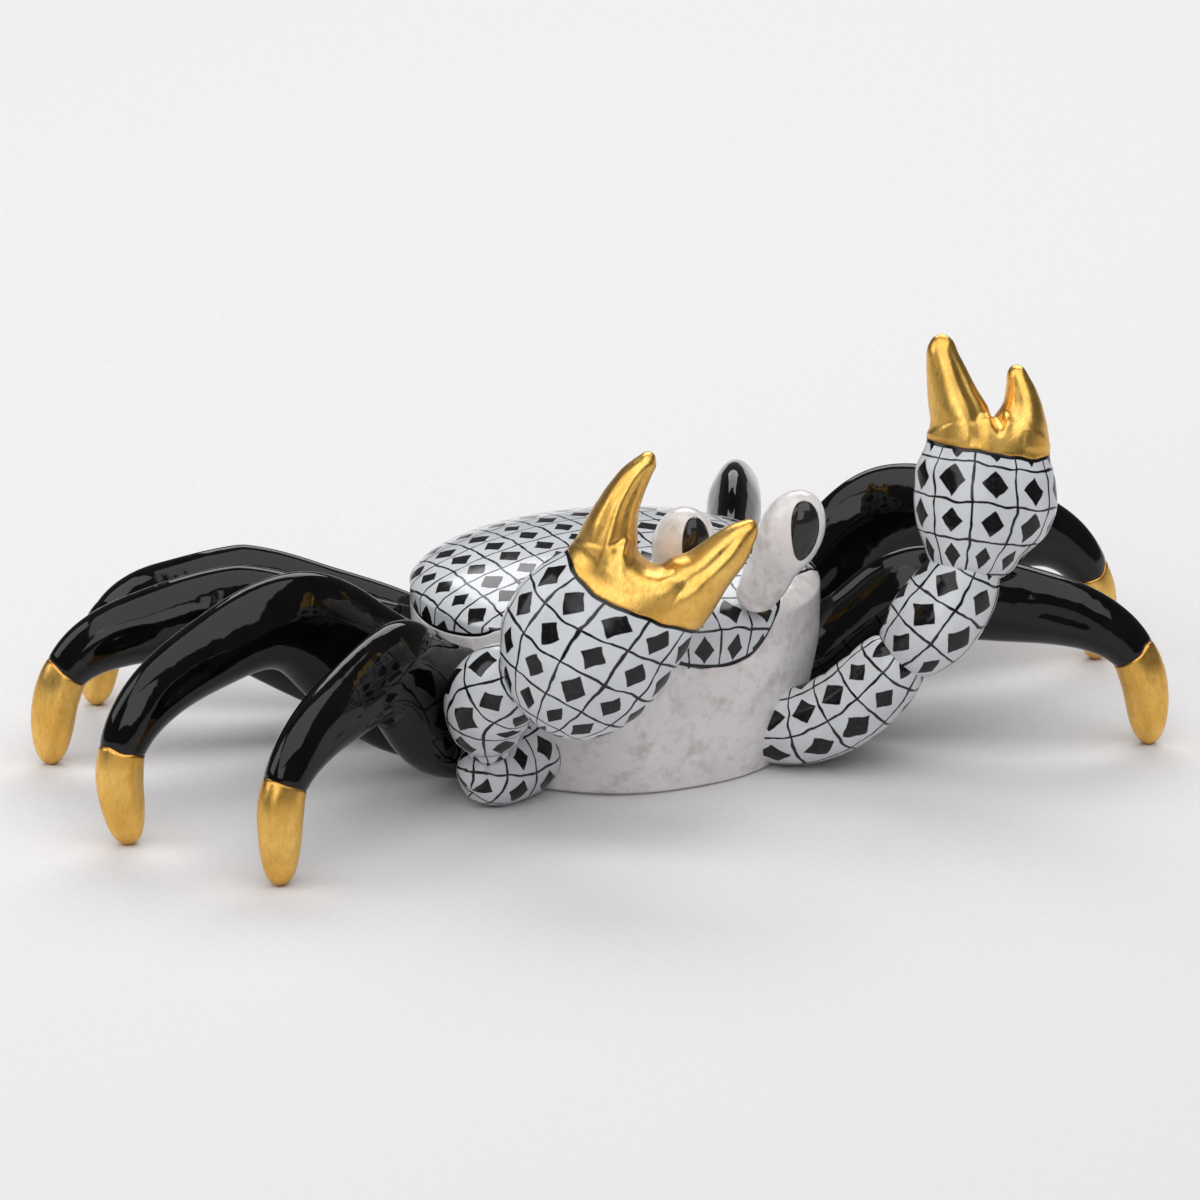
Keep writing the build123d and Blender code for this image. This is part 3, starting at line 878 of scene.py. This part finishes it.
def brow_level(outline):
    """How far down each line of the body the painted carapace reaches."""
    x, y = outline.T
    (level,) = columns(brow_levels, x)
    return 1 + (level - 1) * smooth_step(y, brow_back, brow_front)


def make_carapace(outline, edge, material):
    """The painted shell, down from its crown to its edge and up again inside."""
    rows = 70
    inner_rows = 12
    crown_level = 0.002
    q = np.linspace(0, 1, rows)[:, None] * edge
    q[0] = crown_level
    top = body_points(outline, q)
    inner = top[::-1][:: rows // inner_rows][:inner_rows] * (inner_top_share, inner_top_share, 1)
    inner -= (0, 0, wall)
    steps = np.linalg.norm(np.diff(top, axis=0), axis=2)
    run = np.concatenate([0 * steps[:1], np.cumsum(steps, axis=0)])
    bearing = np.arctan2(outline[:, 1], outline[:, 0])
    unpainted = np.zeros((inner_rows, len(outline) + 1))
    uv = []
    for way in (np.cos(bearing), np.sin(bearing)):
        laid = run * way / cell + 0.5
        uv.append(np.concatenate([np.column_stack([laid, laid[:, 0]]), unpainted]))
    distances = np.concatenate([run[-1] - run, np.full(inner.shape[:2], far_from_edge)])
    carapace = tube("painted_carapace", np.concatenate([top, inner]), capped_uvs(*uv), distances)
    finish_piece(carapace, material, "carapace")


def folded(points, bearing):
    """The bowl with soft upright folds over its face and belly."""
    fade_power = 1.5
    height = points[..., 2] / rim_height
    facing = np.clip(-np.sin(bearing), 0, 1) ** fade_power
    fold = np.sin(bearing * folds_around + fold_lean * height) * facing
    fold = fold * np.clip(np.sin(np.clip(height, 0, 1) * pi), 0, 1)
    outward = np.stack([np.cos(bearing), np.sin(bearing), 0 * bearing], -1)
    return points + (fold_depth * fold)[..., None] * outward


def foot_plate(foot, bearing):
    """Rings from the foot's edge to the vent, up through it, and out over the floor inside."""
    vent = np.stack([vent_radius * np.cos(bearing), vent_behind + vent_radius * np.sin(bearing)], -1)
    rings = [(foot * size, z) for z, size in foot_rounding]
    rings += [(foot * flat_foot_share * (1 - s) + vent * s, 0.0) for s in (0.3, 0.6, 0.85, 1.0)]
    rings += [(vent, wall)]
    rings += [(foot * inner_foot_share * s + vent * (1 - s), wall) for s in (0.5, 0.9)]
    return np.array([np.column_stack([flat, np.full(len(flat), z)]) for flat, z in rings])


def make_underbody(outline, edge, material):
    """The pale bowl, down from the paint's edge, in through the vent and up again inside."""
    rows = 80
    inner_step = 8
    bearing = np.arctan2(outline[:, 1], outline[:, 0])
    lower = body_points(outline, edge + np.linspace(0, 1, rows)[:, None] * (2 - edge))
    lower = folded(lower, bearing)
    inside = lower[::-1][::inner_step] * (inner_bowl_share, inner_bowl_share, 1)
    inside = inside[inside[:, 0, 2] > wall]
    rings = np.concatenate([lower[:-1], foot_plate(lower[-1][:, :2], bearing), inside])
    faces = ring_faces(len(rings), len(outline), closed=True)
    bowl = make_object("pale_underbody", rings.reshape(-1, 3), [faces])
    finish_piece(bowl, material, "underbody")


def make_body(painted, pale):
    outline = rim_outline(240)
    edge = brow_level(outline)
    make_carapace(outline, edge, painted)
    make_underbody(outline, edge, pale)


def eye_axes(hand):
    spread = sin(eye_spread)
    lean = sin(eye_lean)
    foot = np.array([eye_offset + hand * eye_spacing / 2, -body_front + eye_setback, rim_height])
    upward = np.array([hand * spread, -lean, (1 - spread**2 - lean**2) ** 0.5])
    across = unit(np.cross(upward, (0, 1, 0)))
    return foot, across, np.cross(upward, across), upward


def make_eye(side, material):
    around = 80
    rows = 80
    round_rows = 24
    foot_length_share = 0.8
    thinnest = 0.01
    unevenness_share = 0.02
    hand = hands[side]
    foot, across, deep, upward = eye_axes(hand)
    heights, radii = np.array(eye_profile).T
    start, widest = heights[0], heights[-1]
    low = np.linspace(start, widest, rows)[1:]
    size = spline(heights, radii, low)
    # Both ends are rounded
    turn = np.linspace(0, pi / 2, round_rows)
    below = start - foot_length_share * radii[0] * np.cos(turn)
    above = widest + (eye_height - widest) * np.sin(turn[1:])
    low = np.concatenate([below, low, above])
    size = np.concatenate([radii[0] * np.sin(turn), size, eye_radius * np.cos(turn[1:])])
    size = np.maximum(size, thinnest)
    turn = turns(around)
    wave = ripple(SEED + hand, low[:, None] * 0.5, np.sin(turn) * 1.6, np.cos(turn) * 1.6)
    bent = hand * stalk_bend * np.clip(1 - low / widest, 0, 1) ** 2
    circle = np.cos(turn)[:, None] * across + np.sin(turn)[:, None] * deep
    line = foot + low[:, None] * upward - bent[:, None] * (1, 0, 0)
    rings = line[:, None] + circle * (size[:, None] * (1 + unevenness_share * wave))[..., None]
    eye = tube("pale_eye_" + side, rings)
    finish_piece(eye, material, "eye_" + side)


def make_pupil(side, material):
    """A raised oval, laid on the eyeball along the way that the eye looks."""
    around = 96
    foot, _, _, upward = eye_axes(hands[side])
    widest = eye_profile[-1][0]
    middle = foot + upward * widest
    turned = pupil_turn[side]
    gaze = np.array([cos(pupil_tilt) * sin(turned), -cos(pupil_tilt) * cos(turned), sin(pupil_tilt)])
    sideways = unit(np.cross(gaze, (0, 0, 1)))
    up = np.cross(sideways, gaze)
    reach, rise = np.array(pupil_dome_shares).T[..., None]
    turn = turns(around)
    a = reach * pupil_half_width * np.cos(turn)
    b = reach * pupil_half_height * np.sin(turn)
    start = foot + upward * eye_look_height + a[..., None] * sideways + b[..., None] * up
    # Where the line along the gaze leaves the eyeball, an upright ellipsoid
    stretch = (eye_height - widest) / eye_radius
    scale = np.eye(3) - np.outer(upward, upward) * (1 - 1 / stretch)
    p = (start - middle) @ scale
    g = gaze @ scale
    pg = p @ g
    root = np.sqrt(np.maximum(pg**2 - (g @ g) * ((p**2).sum(-1) - eye_radius**2), 0))
    far = (-pg + root) / (g @ g)
    rings = start + gaze * (far + rise * pupil_rise)[..., None]
    pupil = tube("black_pupil_" + side, rings)
    finish_piece(pupil, material, "pupil_" + side)


# Materials


class Nodes:
    """Short calls for making the nodes of one material."""

    def __init__(self, name):
        self.material = bpy.data.materials.new(name)
        self.material.use_nodes = True
        self.tree = self.material.node_tree
        self.tree.nodes.clear()
        self.place = self.add("TexCoord", {})["Object"]

    def add(self, kind, inputs, **settings):
        """Outputs of a new node, whose inputs are given by name or number."""
        node = self.tree.nodes.new("ShaderNode" + kind)
        for key, value in settings.items():
            setattr(node, key, value)
        for key, value in inputs.items():
            if isinstance(value, bpy.types.NodeSocket):
                self.tree.links.new(value, node.inputs[key])
            else:
                node.inputs[key].default_value = value
        return node.outputs

    def math(self, operation, a, b=0.0):
        return self.add("Math", {0: a, 1: b}, operation=operation)[0]

    def split(self, vector):
        return self.add("SeparateXYZ", {0: vector})

    def ramp(self, value, low, high, to_low=0.0, to_high=1.0):
        """Smooth step of the value from low to high."""
        inputs = {0: value, 1: low, 2: high, 3: to_low, 4: to_high}
        return self.add("MapRange", inputs, interpolation_type="SMOOTHSTEP")[0]

    def mix(self, share, a, b):
        """Colour between a and b."""
        return self.add("Mix", {0: share, 6: a, 7: b}, data_type="RGBA")[2]

    def noise(self, scale, detail=3.0, rough=0.5, vector=None, output="Fac"):
        """Noise in so many cells to the metre."""
        vector = self.place if vector is None else vector
        inputs = {"Vector": vector, "Scale": scale, "Detail": detail, "Roughness": rough}
        return self.add("TexNoise", inputs)[output]

    def stretched(self, scale):
        return self.add("Mapping", {"Vector": self.place, "Scale": scale})[0]

    def bump(self, height, distance, under=None):
        """Relief on top of another, if there is one under it."""
        inputs = {"Height": height, "Distance": distance}
        if under is not None:
            inputs["Normal"] = under
        return self.add("Bump", inputs)[0]

    def edge(self):
        """Distance from the edge of the paint or the gold."""
        return self.add("Attribute", {}, attribute_name="edge")["Fac"]

    def finish(self, colour, roughness, normal, **others):
        inputs = {"Base Color": colour, "Roughness": roughness, "Normal": normal, **others}
        self.add("OutputMaterial", {"Surface": self.add("BsdfPrincipled", inputs)[0]})
        return self.material


def black_glaze():
    m = Nodes("black_glaze")
    slow = m.noise(240, 2.0)
    fine = m.noise(1500)
    colour = m.mix(m.ramp(slow, 0.35, 0.7), (0.0015, 0.0015, 0.0016, 1), (0.004, 0.0038, 0.0036, 1))
    normal = m.bump(fine, 0.000004, m.bump(slow, 0.00012))
    return m.finish(colour, m.ramp(fine, 0.3, 0.7, 0.035, 0.075), normal, IOR=1.4)


def pupil_glaze():
    m = Nodes("pupil_glaze")
    slow = m.noise(500, 2.0)
    colour = m.mix(slow, (0.008, 0.008, 0.009, 1), (0.022, 0.021, 0.021, 1))
    return m.finish(colour, m.ramp(slow, 0.3, 0.7, 0.08, 0.14), m.bump(slow, 0.00004), IOR=1.5)


def pale_glaze():
    """Pale warm grey under clear glaze, mottled with thin brownish washes."""
    m = Nodes("pale_glaze")
    slow = m.noise(110)
    patch = m.noise(330, 6.0, 0.65)
    cloud = m.noise(900, 4.0, 0.6)
    speck = m.noise(2600, 2.0)
    colour = m.mix(m.ramp(slow, 0.3, 0.7), (0.87, 0.84, 0.835, 1), (0.75, 0.72, 0.715, 1))
    colour = m.mix(m.ramp(patch, 0.48, 0.7, 0.0, 0.55), colour, (0.42, 0.385, 0.365, 1))
    colour = m.mix(m.ramp(cloud, 0.5, 0.72, 0.0, 0.22), colour, (0.32, 0.29, 0.27, 1))
    colour = m.mix(m.ramp(speck, 0.7, 0.78, 0.0, 0.5), colour, (0.2, 0.17, 0.15, 1))
    return m.finish(colour, m.ramp(patch, 0.3, 0.7, 0.1, 0.2), m.bump(slow, 0.0001), IOR=1.5)


def painted_net():
    """Bluish white porcelain with a painted square net and a lozenge in each cell."""
    m = Nodes("painted_net")
    # The net's coordinates, shaken a little as a hand draws them
    uv = m.split(m.add("UVMap", {}, uv_map="net")[0])
    wobble = m.split(m.noise(330, 2.0, output="Color"))
    shakes = [m.math("MULTIPLY", m.math("SUBTRACT", wobble[i], 0.5), 0.24) for i in (0, 1)]
    x, y = (m.math("ADD", uv[i], shakes[i]) for i in (0, 1))
    in_x, in_y = (m.math("ABSOLUTE", m.math("SUBTRACT", m.math("FRACT", at), 0.5)) for at in (x, y))
    # Lines where either runs up to the side of its cell, thicker and thinner as a brush goes
    pressure = m.noise(520, 2.0)
    half = m.math("MULTIPLY", m.ramp(pressure, 0.25, 0.75, 0.65, 1.25), line_width / cell / 2)
    inside = m.math("SUBTRACT", m.math("MAXIMUM", in_x, in_y), m.math("SUBTRACT", 0.5, half))
    line = m.ramp(inside, -0.012, 0.012)
    # A lozenge in the middle of each cell, each a little different
    corner = m.add("CombineXYZ", {0: m.math("FLOOR", x), 1: m.math("FLOOR", y)})[0]
    random = m.add("TexWhiteNoise", {"Vector": corner}, noise_dimensions="2D")["Value"]
    size = m.ramp(random, 0.0, 1.0, 0.88, 1.12)
    reach = m.math("ADD", m.math("DIVIDE", in_x, 0.3), m.math("DIVIDE", in_y, 0.38))
    lozenge = m.ramp(m.math("DIVIDE", reach, size), 1.04, 0.96)
    # The line that is painted along each edge
    border = m.ramp(m.edge(), edge_line_width * 1.15, edge_line_width * 0.85)
    ink = m.math("MAXIMUM", m.math("MAXIMUM", line, lozenge), border)
    streak = m.noise(1900, 4.0, 0.6)
    slow = m.noise(160, 2.0)
    worn = m.ramp(streak, 0.45, 0.75, 0.0, 0.7)
    black = m.mix(worn, (0.005, 0.005, 0.0055, 1), (0.022, 0.021, 0.022, 1))
    white = m.mix(m.ramp(slow, 0.3, 0.7), (0.66, 0.68, 0.708, 1), (0.58, 0.6, 0.628, 1))
    normal = m.bump(slow, 0.00008, m.bump(ink, 0.00002))
    return m.finish(m.mix(ink, white, black), m.ramp(streak, 0.3, 0.7, 0.1, 0.17), normal, IOR=1.42)


def gilding():
    """Burnished gold: fine strokes of the burnisher, thin brownish wear and small pits."""
    m = Nodes("gilding")
    strokes = m.noise(1.0, 4.0, 0.65, m.stretched((900, 5200, 1100)))
    cross_strokes = m.noise(1.0, 3.0, 0.6, m.stretched((4800, 1000, 900)))
    grain = m.noise(6500, 2.0)
    slow = m.noise(260)
    pits = m.noise(4200, 1.5)
    both = m.math("ADD", m.math("MULTIPLY", strokes, 0.6), m.math("MULTIPLY", cross_strokes, 0.4))
    colour = m.mix(m.ramp(slow, 0.3, 0.7), (0.89, 0.56, 0.15, 1), (0.78, 0.45, 0.1, 1))
    colour = m.mix(m.ramp(both, 0.42, 0.62, 0.0, 0.3), colour, (0.56, 0.29, 0.05, 1))
    pit = m.ramp(pits, 0.76, 0.8)
    colour = m.mix(m.math("MULTIPLY", pit, 0.7), colour, (0.3, 0.15, 0.04, 1))
    worn = m.ramp(m.math("ADD", m.edge(), m.math("MULTIPLY", slow, 0.5)), 0.62, 0.2)
    colour = m.mix(m.math("MULTIPLY", worn, 0.75), colour, (0.42, 0.18, 0.045, 1))
    normal = m.bump(grain, 0.000005, m.bump(both, 0.00003))
    return m.finish(colour, m.ramp(both, 0.3, 0.7, 0.25, 0.42), normal, Metallic=1.0)


# Stage


def make_stage():
    half = floor_half_width
    corners = half * np.array([(-1, -1, 0), (1, -1, 0), (1, 1, 0), (-1, 1, 0)])
    floor = make_object("floor", corners, [np.array([[0, 1, 2, 3]])])
    m = Nodes("floor_painted_falloff")
    grain = m.noise(1100, 4.0)
    # Painted shade and light: the floor's colour is darker in front and lighter behind, as the light
    # falls in the photograph
    away = m.ramp(m.split(m.place)[1], -0.22, 0.16)
    colour = m.mix(away, (0.715, 0.705, 0.715, 1), (0.825, 0.815, 0.825, 1))
    colour = m.mix(m.ramp(grain, 0.3, 0.7, 0.0, 0.25), colour, (0.7, 0.685, 0.69, 1))
    floor.data.materials.append(m.finish(colour, 0.9, m.bump(grain, 0.00006)))

    world = bpy.data.worlds.new("studio")
    bpy.context.scene.world = world
    world.use_nodes = True
    background = world.node_tree.nodes["Background"]
    background.inputs["Color"].default_value = (1, 1, 1, 1)
    background.inputs["Strength"].default_value = world_strength


def look_at(item, azimuth, elevation, distance, target=(0, 0, 0)):
    """Sets a lamp or camera up to face the target. Azimuth 0 is in front of the crab."""
    a, e = radians(azimuth), radians(elevation)
    way = Vector((sin(a) * cos(e), -cos(a) * cos(e), sin(e)))
    item.location = (Vector(target) + way * distance) * MM
    item.rotation_mode = "QUATERNION"
    item.rotation_quaternion = (-way).to_track_quat("-Z", "Y")


def softbox(name, azimuth, elevation, distance, width, height, radiance):
    """An area lamp of the given radiance that faces the figurine."""
    data = bpy.data.lights.new(name, "AREA")
    data.shape = "RECTANGLE"
    data.size = width * MM
    data.size_y = height * MM
    data.energy = radiance * pi * width * height * MM * MM
    look_at(link(name, data), azimuth, elevation, distance)


def make_camera():
    data = bpy.data.cameras.new("camera")
    data.lens = camera_lens
    data.sensor_width = sensor_width
    data.clip_start = 0.05
    data.clip_end = 20
    camera = link("camera", data)
    look_at(camera, camera_azimuth, camera_elevation, camera_distance, camera_target)
    bpy.context.scene.camera = camera


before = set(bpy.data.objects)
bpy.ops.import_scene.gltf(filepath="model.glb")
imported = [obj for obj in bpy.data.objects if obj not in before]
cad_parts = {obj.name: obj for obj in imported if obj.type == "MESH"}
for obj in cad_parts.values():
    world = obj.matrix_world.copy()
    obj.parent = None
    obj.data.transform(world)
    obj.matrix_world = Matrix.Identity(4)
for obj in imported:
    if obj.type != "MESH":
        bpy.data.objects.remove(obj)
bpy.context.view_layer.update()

bpy.context.scene.view_settings.view_transform = "Standard"
make_camera()
make_stage()
for name, values in lamps.items():
    softbox(name, *values)

glaze = black_glaze()
pale = pale_glaze()
net = painted_net()
gold = gilding()
pupil = pupil_glaze()

make_body(net, pale)
for side in ("left", "right"):
    make_eye(side, pale)
    make_pupil(side, pupil)
    arm = [on_body(p) for p in arm_shares[side]]
    wrist = [on_body(p) for p in wrist_shares[side]]
    limb("arm_lower_" + side, arm, arm_girth_shares[side], arm_radius, net, lying=side == "right")
    limb("arm_wrist_" + side, wrist, wrist_girth_shares, wrist_radius, net)
    make_palm(side, net)
    make_fingers(side, gold)
for name in leg_shares:
    make_leg(name, glaze)
    make_toe(name, gold)
